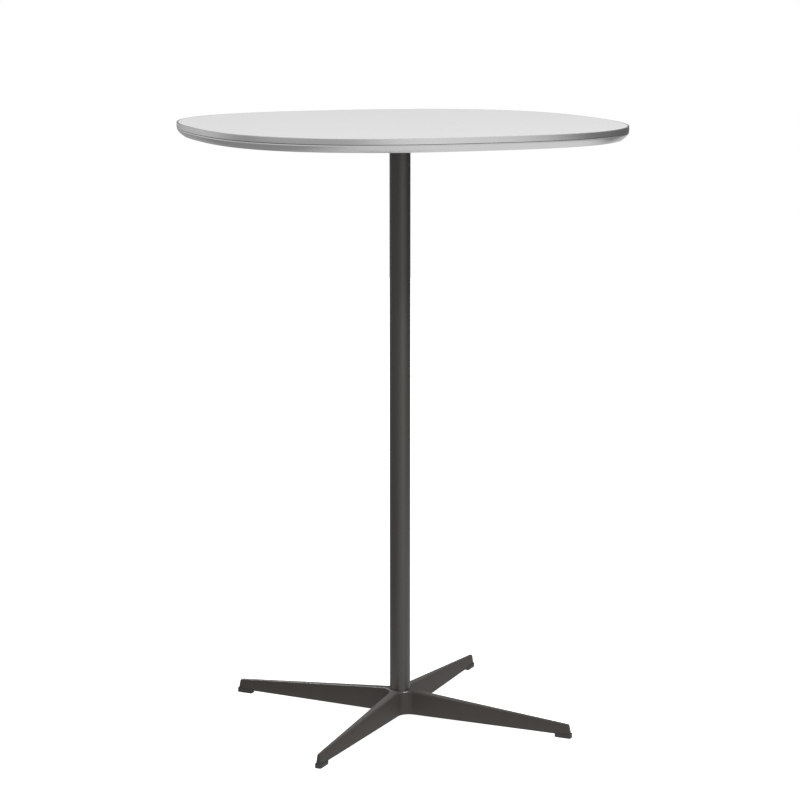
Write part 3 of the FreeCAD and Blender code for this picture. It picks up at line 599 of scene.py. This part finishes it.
def bare_metal(name, dark, light, rough, rings=400):
    """Turned or plated metal: fine tool rings, slow tarnish and brighter corners."""
    material, tree, shader = new_finish(name, metallic=1.0)
    tool = add_noise(tree, object_place(tree, (rings, rings, 3 * rings)), 1.0, 3.0)
    cloud = add_noise(tree, object_place(tree), 90.0, 4.0, 0.65)
    rubbed = use_group(tree, RUBBED, amount=0.7)
    tone = blend_colours(tree, cloud, dark, light)
    tree.links.new(blend_colours(tree, rubbed.outputs["Mask"], tone, tuple(min(1, 1.2 * c) for c in light)),
                   shader.inputs["Base Color"])
    spread = add_math(tree, "MULTIPLY", tool, 0.16)
    tree.links.new(add_math(tree, "ADD", spread, rough - 0.08), shader.inputs["Roughness"])
    set_bump(tree, shader, tool, 0.1, 0.05 * MM)
    return material


def fibre_board():
    """Pressed fibre board: short flecks lying flat in the sheet."""
    material, tree, shader = new_finish("fibre_board", roughness=0.85)
    fibres = add_noise(tree, object_place(tree, (420, 420, 1600)), 1.0, 5.0, 0.7)
    tree.links.new(blend_colours(tree, fibres, (0.30, 0.20, 0.11), (0.52, 0.39, 0.25)),
                   shader.inputs["Base Color"])
    set_bump(tree, shader, fibres, 0.4, 0.15 * MM)
    return material


# ---- modelling helpers ------------------------------------------------------------

def start_piece(name):
    """Name the primitive just added and open it for editing with nothing selected."""
    piece = bpy.context.object
    piece.name = name
    piece.data.name = name
    bpy.ops.object.mode_set(mode="EDIT")
    bpy.ops.mesh.select_all(action="DESELECT")
    return piece


def pick(piece, kind, test):
    """In edit mode, select only the vertices, edges or faces whose place passes the test."""
    bpy.ops.mesh.select_mode(type=kind)
    bpy.ops.mesh.select_all(action="DESELECT")
    bpy.ops.object.mode_set(mode="OBJECT")
    mesh = piece.data
    if kind == "VERT":
        for vertex in mesh.vertices:
            vertex.select = test(vertex.co)
    elif kind == "EDGE":
        for edge in mesh.edges:
            edge.select = test(*(mesh.vertices[index].co for index in edge.vertices))
    else:
        for face in mesh.polygons:
            face.select = test(face.center, face.normal)
    bpy.ops.object.mode_set(mode="EDIT")


def close_edit(piece, smooth_angle=35):
    """Leave edit mode with clean outward faces and smooth shading up to an angle."""
    bpy.ops.mesh.select_mode(type="VERT")
    bpy.ops.mesh.select_all(action="SELECT")
    bpy.ops.mesh.remove_doubles(threshold=0.000005)
    bpy.ops.mesh.normals_make_consistent(inside=False)
    bpy.ops.mesh.select_all(action="DESELECT")
    bpy.ops.object.mode_set(mode="OBJECT")
    clear_selection()
    piece.select_set(True)
    bpy.context.view_layer.objects.active = piece
    bpy.ops.object.transform_apply(location=True, rotation=True, scale=True)
    bpy.ops.object.shade_smooth_by_angle(angle=math.radians(smooth_angle))
    clear_selection()


def clear_selection():
    """Deselect every object."""
    bpy.ops.object.select_all(action="DESELECT")


def apply_bevel(piece, width, segments, angle=30):
    """Round every edge sharper than an angle, and make it part of the mesh."""
    clear_selection()
    piece.select_set(True)
    bpy.context.view_layer.objects.active = piece
    soft = piece.modifiers.new("soft_edges", "BEVEL")
    soft.width = width
    soft.segments = segments
    soft.limit_method = "ANGLE"
    soft.angle_limit = math.radians(angle)
    soft.use_clamp_overlap = True
    soft.miter_outer = "MITER_ARC"
    bpy.ops.object.modifier_apply(modifier=soft.name)
    clear_selection()


def place_piece(piece, material, slot_name, *stands_for):
    """Give a finished piece its material and its body, and hide the design nodes it stands for."""
    piece.data.materials.clear()
    piece.data.materials.append(material)
    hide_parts(*stands_for)
    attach(piece, root)
    return piece


# ---- top --------------------------------------------------------------------------

def outline_point(angle, inset):
    """A point on the top's outline, moved straight inwards by the inset."""
    across, along = math.cos(angle), math.sin(angle)
    power = OUTLINE_POWER
    reach = TOP_HALF / (abs(across) ** power + abs(along) ** power) ** (1 / power)
    outward = Vector((math.copysign(abs(across) ** (power - 1), across),
                      math.copysign(abs(along) ** (power - 1), along))).normalized()
    return across * reach - outward.x * inset, along * reach - outward.y * inset


def onto_outline(piece):
    """Move a round mesh, ring by ring, onto the top's outline, keeping each point's inset."""
    for vertex in piece.data.vertices:
        angle = math.atan2(vertex.co.y, vertex.co.x)
        inset = TOP_HALF - math.hypot(vertex.co.x, vertex.co.y)
        vertex.co.x, vertex.co.y = outline_point(angle, inset)


def pull_rings(piece, section):
    """Extrude the selected ring through the section's (inset, depth) points."""
    for (inset, depth), (next_inset, next_depth) in zip(section, section[1:]):
        bpy.ops.mesh.extrude_edges_move(TRANSFORM_OT_translate={"value": (0, 0, depth - next_depth)})
        share = (TOP_HALF - next_inset) / (TOP_HALF - inset)
        bpy.ops.transform.resize(value=(share, share, 1), center_override=(0, 0, 0))


def arc_points(start, end, bulge, steps):
    """Points after start up to end, on an arc that swells by bulge towards the outside."""
    (x0, z0), (x1, z1) = start, end
    chord = math.hypot(x1 - x0, z1 - z0)
    across = ((z0 - z1) / chord, (x1 - x0) / chord)
    points = []
    for step in range(1, steps + 1):
        share = step / steps
        swell = 4 * bulge * share * (1 - share)
        points.append((x0 + (x1 - x0) * share + across[0] * swell,
                       z0 + (z1 - z0) * share + across[1] * swell))
    return points


def rounded_turn(corner, before, after, radius, steps=4):
    """Points that round one corner of a section between its two neighbours."""
    corner, before, after = Vector(corner), Vector(before), Vector(after)
    start = corner + (before - corner).normalized() * radius
    end = corner + (after - corner).normalized() * radius
    points = []
    for step in range(steps + 1):
        share = step / steps
        points.append(tuple((1 - share) ** 2 * start + 2 * share * (1 - share) * corner + share ** 2 * end))
    return points


def edge_section():
    """The edge profile's outer face and its inner wall, as (inset, depth) round the section."""
    lip = rounded_turn((0, 0), (LIP_WIDTH, 0), (0, BAND_DEPTH), LIP_ROUND, 6)
    band_foot = (0, BAND_DEPTH)
    groove_slope = 0.35 * GROOVE_DEPTH
    groove_roof = (GROOVE_DEPTH, BAND_DEPTH + groove_slope)
    groove_floor = (GROOVE_DEPTH, BAND_DEPTH + groove_slope + GROOVE_HEIGHT)
    bevel_start = (0.4 * GROOVE_DEPTH, BEVEL_TOP)
    bevel_end = (BEVEL_INSET, EDGE_DEPTH)
    section = [(LIP_WIDTH, 0)] + lip
    section += [(0, 0.5 * BAND_DEPTH)]
    section += rounded_turn(band_foot, (0, 0), groove_roof, GROOVE_ROUND, 3)
    section += rounded_turn(groove_roof, band_foot, groove_floor, GROOVE_ROUND, 2)
    section += rounded_turn(groove_floor, groove_roof, bevel_start, GROOVE_ROUND, 2)
    section += rounded_turn(bevel_start, groove_floor, bevel_end, BEVEL_ROUND, 4)
    section += arc_points(section[-1], (BEVEL_INSET - BEVEL_ROUND, EDGE_DEPTH - 0.25 * MM), BEVEL_BULGE, 10)
    section += [(BEVEL_INSET, EDGE_DEPTH - 0.05 * MM), (BEVEL_INSET + 0.4 * MM, EDGE_DEPTH)]
    section += [(FOOT_INSET, EDGE_DEPTH), (FOOT_INSET, EDGE_DEPTH - FOOT_HEIGHT)]
    section += [(LIP_WIDTH + 0.6 * MM, BEVEL_TOP + 1.2 * MM), (LIP_WIDTH, BEVEL_TOP)]
    return section


def edge_ring():
    """The metal edge: one profile bent round the top, with its ends butted at the back."""
    section = edge_section()
    first = section[0]
    clear_selection()
    bpy.ops.mesh.primitive_circle_add(vertices=OUTLINE_STEPS, radius=TOP_HALF - first[0],
                                      location=(0, 0, TOP_Z))
    ring = start_piece("edge_ring")
    bpy.ops.mesh.select_all(action="SELECT")
    pull_rings(ring, section)
    last = section[-1]
    first_radius, last_radius = TOP_HALF - first[0], TOP_HALF - last[0]
    last_z = -last[1]

    def on_end_ring(point):
        reach = math.hypot(point.x, point.y)
        return (abs(reach - first_radius) < NEAR and abs(point.z) < NEAR
                or abs(reach - last_radius) < NEAR and abs(point.z - last_z) < NEAR)

    pick(ring, "EDGE", lambda start, end: on_end_ring(start) and on_end_ring(end)
         and abs(start.z - end.z) < NEAR)
    bpy.ops.mesh.bridge_edge_loops()
    close_edit(ring, 28)
    onto_outline(ring)
    cut_butt_joint(ring)
    return ring


def cut_butt_joint(ring):
    """Open the hairline gap between the profile's two ends and close both end faces."""
    clear_selection()
    ring.select_set(True)
    bpy.context.view_layer.objects.active = ring
    bpy.ops.object.mode_set(mode="EDIT")
    for side in (-1, 1):
        pick(ring, "FACE", lambda centre, normal: centre.y > 0 and abs(centre.x) < 0.02)
        bpy.ops.mesh.bisect(plane_co=(side * JOINT_GAP / 2, 0, 0), plane_no=(1, 0, 0))
    pick(ring, "FACE", lambda centre, normal: centre.y > 0 and abs(centre.x) < JOINT_GAP / 2)
    bpy.ops.mesh.delete(type="FACE")
    for side in (-1, 1):
        place = side * JOINT_GAP / 2
        pick(ring, "EDGE", lambda start, end, place=place: start.y > 0 and end.y > 0
             and abs(start.x - place) < NEAR and abs(end.x - place) < NEAR)
        bpy.ops.mesh.edge_face_add()
    close_edit(ring, 28)


def top_sheet():
    """The laminate sheet: flat, with its arris eased where it meets the metal lip."""
    clear_selection()
    inset = SHEET_INSET
    bpy.ops.mesh.primitive_circle_add(vertices=OUTLINE_STEPS, radius=TOP_HALF - inset,
                                      location=(0, 0, TOP_Z))
    sheet = start_piece("top_sheet")
    ease = SHEET_EASE
    bpy.ops.mesh.select_all(action="SELECT")
    bpy.ops.transform.translate(value=(0, 0, -SHEET_THICK))
    bpy.ops.mesh.edge_face_add()
    pull_rings(sheet, [(inset, SHEET_THICK), (inset, ease), (inset + 0.3 * ease, 0.3 * ease),
                       (inset + ease, 0)])
    rings = [(inset + ease, 0)] + [(inset + ease + step, 0) for step in SHEET_RINGS]
    pull_rings(sheet, rings)
    bpy.ops.mesh.edge_face_add()
    close_edit(sheet, 20)
    onto_outline_plate(sheet)
    return sheet


def onto_outline_plate(piece):
    """As onto_outline, but inner rings shrink evenly, so none crosses the middle."""
    for vertex in piece.data.vertices:
        angle = math.atan2(vertex.co.y, vertex.co.x)
        share = math.hypot(vertex.co.x, vertex.co.y) / (TOP_HALF - SHEET_INSET)
        rim_x, rim_y = outline_point(angle, SHEET_INSET)
        vertex.co.x, vertex.co.y = rim_x * share, rim_y * share


# ---- column -----------------------------------------------------------------------

COLUMN_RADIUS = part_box("column_tube")[1].x
COLUMN_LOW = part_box("column_tube")[0].z
COLUMN_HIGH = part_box("column_tube")[1].z
COLUMN_WALL = 2 * MM
COLUMN_ARRIS = 0.4 * MM


def column():
    """The column: a plain tube with its ends deburred."""
    clear_selection()
    bpy.ops.mesh.primitive_cylinder_add(vertices=160, radius=COLUMN_RADIUS,
                                        depth=COLUMN_HIGH - COLUMN_LOW, end_fill_type="NGON",
                                        location=(0, 0, (COLUMN_HIGH + COLUMN_LOW) / 2))
    tube = start_piece("column")
    pick(tube, "FACE", lambda centre, normal: abs(normal.z) > 0.9)
    bpy.ops.mesh.inset(thickness=COLUMN_WALL, use_even_offset=True)
    bpy.ops.mesh.bridge_edge_loops()
    close_edit(tube, 40)
    apply_bevel(tube, COLUMN_ARRIS, 3, 60)
    return tube


# ---- base casting -----------------------------------------------------------------

HUB_TOP = 49.4 * MM
UNDERSIDE = 6 * MM
LEG_REACH = 324.7 * MM
TIP_TOP_REACH = 321.7 * MM
TIP_TOP = 24.6 * MM
LEG_SLOPE = (HUB_TOP - TIP_TOP) / TIP_TOP_REACH
ROOT_HALF = 8.87 * MM
TIP_HALF = 3.23 * MM
DRAFT_OUT = 2.73 * MM
TIP_LOW_HALF = 4.4 * MM
WEB_REACH = 22.9 * MM
WEB_RADIUS = 23.7 * MM
WEB_CENTRE = 32.0 * MM
CAST_SOFT = 3.0 * MM
TIP_SOFT = 1.2 * MM
LEG_TURN = math.radians(45)

# the hollow under each leg, from near the hub to short of the tip
HOLLOW_START = 36 * MM
HOLLOW_END = 268 * MM
HOLLOW_ROOT_HALF = 7.2 * MM
HOLLOW_TIP_HALF = 2.06 * MM
HOLLOW_ROOT_ROOF = 41.6 * MM
HOLLOW_TIP_ROOF = 23.7 * MM
HOLLOW_ROUND = 1.2 * MM

# the bores in the hub, and how far a cutter goes past the metal
POCKET_RADIUS = 17 * MM
POCKET_ROOF = 22 * MM
SEAT_PLAY = 0.1 * MM
BORE_RADIUS = 10.1 * MM
BORE_DEPTH = 10.5 * MM
ROD_HOLE_RADIUS = 5.3 * MM
PAST_BELOW = -10 * MM
PAST_ABOVE = 100 * MM


def star_face():
    """A flat four-legged star with rounded webs, at the height of the hub's top."""
    clear_selection()
    corner = ROOT_HALF / (1 + (ROOT_HALF - TIP_HALF) / TIP_TOP_REACH)
    bpy.ops.mesh.primitive_plane_add(size=2 * corner, location=(0, 0, HUB_TOP))
    star = start_piece("star_base")
    for across, along in ((1, 0), (-1, 0), (0, 1), (0, -1)):
        def on_side(start, end, across=across, along=along):
            middle = (start + end) / 2
            reach = middle.x * across + middle.y * along
            return abs(reach - corner) < NEAR and abs(middle.length - corner) < NEAR

        pick(star, "EDGE", on_side)
        push = TIP_TOP_REACH - corner
        bpy.ops.mesh.extrude_edges_move(TRANSFORM_OT_translate={"value": (push * across, push * along, 0)})
        narrow = TIP_HALF / corner
        bpy.ops.transform.resize(value=(narrow if along else 1, narrow if across else 1, 1),
                                 center_override=(0, 0, HUB_TOP))
    bpy.ops.mesh.select_all(action="SELECT")
    bpy.ops.mesh.dissolve_limited(angle_limit=math.radians(1))
    pick(star, "VERT", lambda point: math.hypot(point.x, point.y) < 2 * corner)
    bpy.ops.mesh.bevel(offset=WEB_REACH, offset_type="OFFSET", segments=14, affect="VERTICES",
                       clamp_overlap=False)
    return star


def raise_walls(star):
    """Walls down to the underside, then flared outwards below to give them their draft."""
    bpy.ops.mesh.select_all(action="SELECT")
    bpy.ops.mesh.extrude_region_move(TRANSFORM_OT_translate={"value": (0, 0, UNDERSIDE - HUB_TOP)})
    flare = (WEB_RADIUS - DRAFT_OUT) / WEB_RADIUS
    for side_x, side_y in ((1, 1), (-1, 1), (-1, -1), (1, -1)):
        def in_web(point, side_x=side_x, side_y=side_y):
            return point.z < -0.01 and 0 < point.x * side_x < 0.1 and 0 < point.y * side_y < 0.1

        pick(star, "VERT", in_web)
        bpy.ops.transform.resize(value=(flare, flare, 1),
                                 center_override=(WEB_CENTRE * side_x, WEB_CENTRE * side_y, UNDERSIDE))
    spread = TIP_LOW_HALF / TIP_HALF
    lean = LEG_REACH - TIP_TOP_REACH
    for along_x, along_y in ((1, 0), (-1, 0), (0, 1), (0, -1)):
        def at_tip(point, along_x=along_x, along_y=along_y):
            return point.z < -0.01 and point.x * along_x + point.y * along_y > 0.3

        pick(star, "VERT", at_tip)
        bpy.ops.transform.resize(value=(spread if along_y else 1, spread if along_x else 1, 1),
                                 center_override=(0, 0, UNDERSIDE))
        bpy.ops.transform.translate(value=(lean * along_x, lean * along_y, 0))


def soften_star(star):
    """Round the top's outline, and the tips' corners more tightly, then slope the legs down."""
    def upright(start, end):
        return abs(start.z - end.z) > 0.01 and min(start.length, end.length) > 0.3

    def on_top(start, end):
        return min(start.z, end.z) > -NEAR

    pick(star, "EDGE", upright)
    bpy.ops.transform.edge_bevelweight(value=TIP_SOFT / CAST_SOFT)
    pick(star, "EDGE", on_top)
    bpy.ops.transform.edge_bevelweight(value=1.0)
    bpy.ops.object.mode_set(mode="OBJECT")
    soft = star.modifiers.new("soft_edges", "BEVEL")
    soft.width = CAST_SOFT
    soft.segments = 6
    soft.limit_method = "WEIGHT"
    soft.use_clamp_overlap = False
    bpy.ops.object.modifier_apply(modifier=soft.name)
    bpy.ops.object.mode_set(mode="EDIT")
    pick(star, "FACE", lambda centre, normal: abs(normal.z) > 0.99 and centre.z > -NEAR)
    bpy.ops.mesh.poke()
    bpy.ops.object.mode_set(mode="OBJECT")
    for vertex in star.data.vertices:
        if vertex.co.z > -1.4 * CAST_SOFT:
            vertex.co.z -= LEG_SLOPE * math.hypot(vertex.co.x, vertex.co.y)
    bpy.ops.object.mode_set(mode="EDIT")


def leg_hollow_cutter():
    """One tapering block that hollows a leg from below."""
    middle = (HOLLOW_START + HOLLOW_END) / 2
    clear_selection()
    bpy.ops.mesh.primitive_cube_add(size=1, location=(middle, 0, 0),
                                    scale=(HOLLOW_END - HOLLOW_START, 2 * HOLLOW_ROOT_HALF, 1))
    block = start_piece("hollow_cutter")
    bpy.ops.object.mode_set(mode="OBJECT")
    bpy.ops.object.transform_apply(location=True, rotation=True, scale=True)
    for vertex in block.data.vertices:
        outer = vertex.co.x > middle
        roof = HOLLOW_TIP_ROOF if outer else HOLLOW_ROOT_ROOF
        vertex.co.z = roof if vertex.co.z > 0 else -4 * MM
        vertex.co.y = math.copysign(HOLLOW_TIP_HALF if outer else HOLLOW_ROOT_HALF, vertex.co.y)
    apply_bevel(block, HOLLOW_ROUND, 3)
    return block


def round_cutter(name, radius, low, high, at=(0, 0), vertices=96):
    """An upright cylinder to cut a bore with, between two heights."""
    clear_selection()
    bpy.ops.mesh.primitive_cylinder_add(vertices=vertices, radius=radius, depth=high - low,
                                        location=(at[0], at[1], (low + high) / 2))
    cutter = bpy.context.object
    cutter.name = name
    bpy.ops.object.transform_apply(location=True, rotation=True, scale=True)
    return cutter


def cut_away(piece, cutters):
    """Subtract the cutters from the piece and remove them."""
    for cutter in cutters:
        clear_selection()
        piece.select_set(True)
        bpy.context.view_layer.objects.active = piece
        minus = piece.modifiers.new("minus", "BOOLEAN")
        minus.operation = "DIFFERENCE"
        minus.solver = "EXACT"
        minus.object = cutter
        bpy.ops.object.modifier_apply(modifier=minus.name)
        bpy.data.objects.remove(cutter, do_unlink=True)


def turned_copies(piece, angles):
    """Copies of a piece turned round the column's axis, each with its own mesh."""
    copies = []
    for angle in angles:
        clear_selection()
        piece.select_set(True)
        bpy.context.view_layer.objects.active = piece
        bpy.ops.object.duplicate(linked=False)
        copy = bpy.context.object
        copy.rotation_euler = (0, 0, angle)
        bpy.ops.object.transform_apply(location=True, rotation=True, scale=True)
        copies.append(copy)
    bpy.data.objects.remove(piece, do_unlink=True)
    return copies


def star_base():
    """The cast star: webs between four sloping legs, hollow below, bored for the column."""
    star = star_face()
    raise_walls(star)
    soften_star(star)
    close_edit(star, 32)
    star.rotation_euler = (0, 0, LEG_TURN)
    clear_selection()
    star.select_set(True)
    bpy.context.view_layer.objects.active = star
    bpy.ops.object.transform_apply(location=True, rotation=True, scale=True)
    hollows = turned_copies(leg_hollow_cutter(), [LEG_TURN + turn * math.pi / 2 for turn in range(4)])
    bores = [round_cutter("pocket_cutter", POCKET_RADIUS, PAST_BELOW, POCKET_ROOF),
             round_cutter("seat_cutter", COLUMN_RADIUS + SEAT_PLAY, COLUMN_LOW, PAST_ABOVE),
             round_cutter("bore_cutter", BORE_RADIUS, COLUMN_LOW - BORE_DEPTH, PAST_ABOVE, vertices=48),
             round_cutter("rod_cutter", ROD_HOLE_RADIUS, PAST_BELOW, PAST_ABOVE, vertices=32)]
    cut_away(star, hollows + bores)
    bpy.context.view_layer.objects.active = star
    star.select_set(True)
    bpy.ops.object.mode_set(mode="EDIT")
    close_edit(star, 32)
    return star


# ---- glides -----------------------------------------------------------------------

GLIDE_START = 297 * MM
GLIDE_END = 326.4 * MM
GLIDE_HALF = 6.2 * MM
GLIDE_RIM = 8.1 * MM
GLIDE_HEEL = 6.6 * MM
# how much of the shoe at its inner end has a level rim, lower than at the tip
GLIDE_LEVEL = 9 * MM
GLIDE_TOE_ROUND = 3.4 * MM
GLIDE_HEEL_ROUND = 1.6 * MM
GLIDE_WALL = 1.35 * MM
GLIDE_SOLE_ROUND = 1.0 * MM
WELL_RADIUS = 3.4 * MM
WELL_ROOF = 3.7 * MM
WELL_REACH = 309 * MM


def glide_blank():
    """A moulded shoe along +X: rounded sole, raised rim, seat for the leg's tip, screw well."""
    clear_selection()
    middle = (GLIDE_START + GLIDE_END) / 2
    bpy.ops.mesh.primitive_cube_add(size=1, location=(middle, 0, GLIDE_RIM / 2),
                                    scale=(GLIDE_END - GLIDE_START, 2 * GLIDE_HALF, GLIDE_RIM))
    shoe = start_piece("glide")
    bpy.ops.object.mode_set(mode="OBJECT")
    bpy.ops.object.transform_apply(location=True, rotation=True, scale=True)
    bpy.ops.object.mode_set(mode="EDIT")
    bpy.ops.mesh.select_all(action="SELECT")
    bpy.ops.mesh.bisect(plane_co=(GLIDE_START + GLIDE_LEVEL, 0, 0), plane_no=(1, 0, 0))

    def upright_at(reach):
        return lambda start, end: (abs(start.z - end.z) > 1 * MM and abs(start.x - reach) < NEAR
                                   and abs(end.x - reach) < NEAR)

    pick(shoe, "EDGE", upright_at(GLIDE_END))
    bpy.ops.mesh.bevel(offset=GLIDE_TOE_ROUND, segments=8, affect="EDGES", clamp_overlap=False)
    pick(shoe, "EDGE", upright_at(GLIDE_START))
    bpy.ops.mesh.bevel(offset=GLIDE_HEEL_ROUND, segments=5, affect="EDGES", clamp_overlap=False)
    pick(shoe, "FACE", lambda centre, normal: normal.z > 0.9)
    bpy.ops.mesh.inset(thickness=GLIDE_WALL, use_even_offset=True)
    pick(shoe, "FACE", lambda centre, normal: normal.z > 0.9 and abs(centre.y) < 1e-4
         and GLIDE_START + 1.5 * MM < centre.x < GLIDE_END - 2 * MM)
    bpy.ops.mesh.extrude_region_move(TRANSFORM_OT_translate={"value": (0, 0, UNDERSIDE - GLIDE_RIM)})
    bpy.ops.object.mode_set(mode="OBJECT")
    for vertex in shoe.data.vertices:
        if vertex.co.z > GLIDE_RIM - NEAR:
            share = (GLIDE_END - vertex.co.x) / (GLIDE_END - GLIDE_START - GLIDE_LEVEL)
            vertex.co.z -= (GLIDE_RIM - GLIDE_HEEL) * max(0.0, min(1.0, share))
    bpy.ops.object.mode_set(mode="EDIT")
    pick(shoe, "EDGE", lambda start, end: max(start.z, end.z) < NEAR)
    bpy.ops.mesh.bevel(offset=GLIDE_SOLE_ROUND, segments=4, affect="EDGES", clamp_overlap=False)
    close_edit(shoe, 30)
    apply_bevel(shoe, 0.25 * MM, 2, 40)
    well = round_cutter("well_cutter", WELL_RADIUS, PAST_BELOW, WELL_ROOF, at=(WELL_REACH, 0), vertices=40)
    cut_away(shoe, [well])
    clear_selection()
    shoe.select_set(True)
    bpy.context.view_layer.objects.active = shoe
    bpy.ops.object.mode_set(mode="EDIT")
    close_edit(shoe, 32)
    return shoe


# ---- putting it together ----------------------------------------------------------

GLIDE_TURNS = {"glide_rear_right": 45, "glide_rear_left": 135, "glide_front_left": 225,
               "glide_front_right": 315}


def make_finishes():
    """Every finish, by the name of its material slot in the record."""
    return {
        "coated_casting": coated_metal("cast_coat", (0.041, 0.035, 0.030), (0.048, 0.041, 0.036),
                                       0.34, 1500, 0.38, 0.85),
        "coated_tube": coated_metal("tube_coat", (0.027, 0.022, 0.018), (0.032, 0.026, 0.021),
                                    0.34, 2200, 0.92, 0.3),
        "white_laminate": pale_laminate(),
        "backing_laminate": backing_laminate(), "edge_metal": edge_metal(),
        "glide_plastic": glide_plastic(), "board_core": fibre_board(),
        "plain_steel": bare_metal("plated_steel", (0.46, 0.47, 0.48), (0.60, 0.60, 0.60), 0.34),
        "spring_steel": bare_metal("spring_steel", (0.12, 0.12, 0.13), (0.20, 0.20, 0.21), 0.4),
        "turned_metal": bare_metal("turned_metal", (0.62, 0.62, 0.63), (0.74, 0.74, 0.75), 0.3),
        "insert_brass": bare_metal("insert_brass", (0.52, 0.37, 0.14), (0.70, 0.53, 0.24), 0.32),
    }


def finish_nodes(finishes):
    """Give every design node the finish that its material slot in the record asks for."""
    for row in frame["record"]["subparts"]:
        for place in nodes[row["node"]].material_slots:
            place.material = finishes[row["material_slot"]]


def make_pieces(finishes):
    place_piece(edge_ring(), finishes["edge_metal"], "edge_metal", "edge_profile")
    place_piece(top_sheet(), finishes["white_laminate"], "white_laminate", "top_laminate")
    tube = place_piece(column(), finishes["coated_tube"], "coated_tube", "column_tube")
    star = place_piece(star_base(), finishes["coated_casting"], "coated_casting", "base_casting")
    COATED.objects.link(tube)
    COATED.objects.link(star)
    shoes = turned_copies(glide_blank(), [math.radians(turn) for turn in GLIDE_TURNS.values()])
    for shoe, node in zip(shoes, GLIDE_TURNS):
        shoe.name = shoe.data.name = node.replace("glide", "shoe")
        place_piece(shoe, finishes["glide_plastic"], "glide_plastic", node)


make_camera()
studio_air()
make_floor()
light_studio()
FINISHES = make_finishes()
finish_nodes(FINISHES)
make_pieces(FINISHES)
bpy.context.scene.view_settings.view_transform = "Standard"
